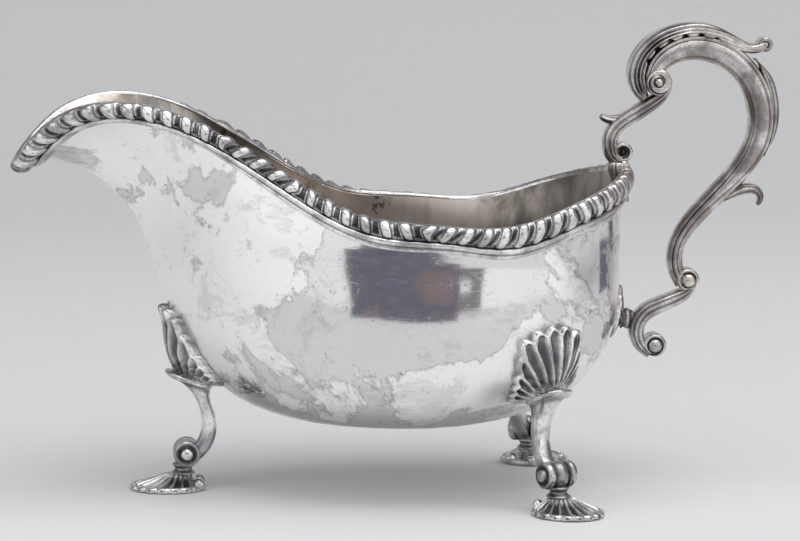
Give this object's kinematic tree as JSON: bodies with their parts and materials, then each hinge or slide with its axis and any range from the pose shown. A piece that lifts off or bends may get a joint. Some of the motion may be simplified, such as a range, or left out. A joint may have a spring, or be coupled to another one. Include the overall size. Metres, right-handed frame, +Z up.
{
  "type": "sauce boat",
  "caption": "Silver sauce boat: deep oval bowl with a pouring lip, gadrooned rim, leaf-capped double scroll handle and shell feet.",
  "frame": {"origin": "on the table, below the middle of the overall length, in the plane of symmetry", "axes": "+X along the boat from the pouring lip to the handle, +Y across the bowl to its left side, +Z up"},
  "size_m": [0.2066, 0.1028, 0.1266],
  "materials": {
    "silver_sheet": "polished",
    "silver_cast": "polished"
  },
  "bodies": {
    "root": {"bowl": "silver_sheet", "gadroon_border_left": "silver_cast", "gadroon_border_right": "silver_cast", "rim_wire_left": "silver_cast", "rim_wire_right": "silver_cast", "handle_main_scroll": "silver_cast", "handle_upper_scroll": "silver_cast", "handle_lower_scroll": "silver_cast", "handle_leaf_cap": "silver_cast", "handle_back_leaf": "silver_cast", "handle_thumb_spur": "silver_cast", "handle_lower_spur": "silver_cast", "handle_rim_bracket": "silver_cast", "handle_lower_plate": "silver_cast", "handle_lower_boss": "silver_cast", "front_leg_shell": "silver_cast", "front_leg_scroll": "silver_cast", "front_leg_knuckle": "silver_cast", "front_leg_ankle": "silver_cast", "front_foot_shell": "silver_cast", "left_leg_shell": "silver_cast", "left_leg_scroll": "silver_cast", "left_leg_knuckle": "silver_cast", "left_leg_ankle": "silver_cast", "left_foot_shell": "silver_cast", "right_leg_shell": "silver_cast", "right_leg_scroll": "silver_cast", "right_leg_knuckle": "silver_cast", "right_leg_ankle": "silver_cast", "right_foot_shell": "silver_cast"}
  },
  "joints": []
}
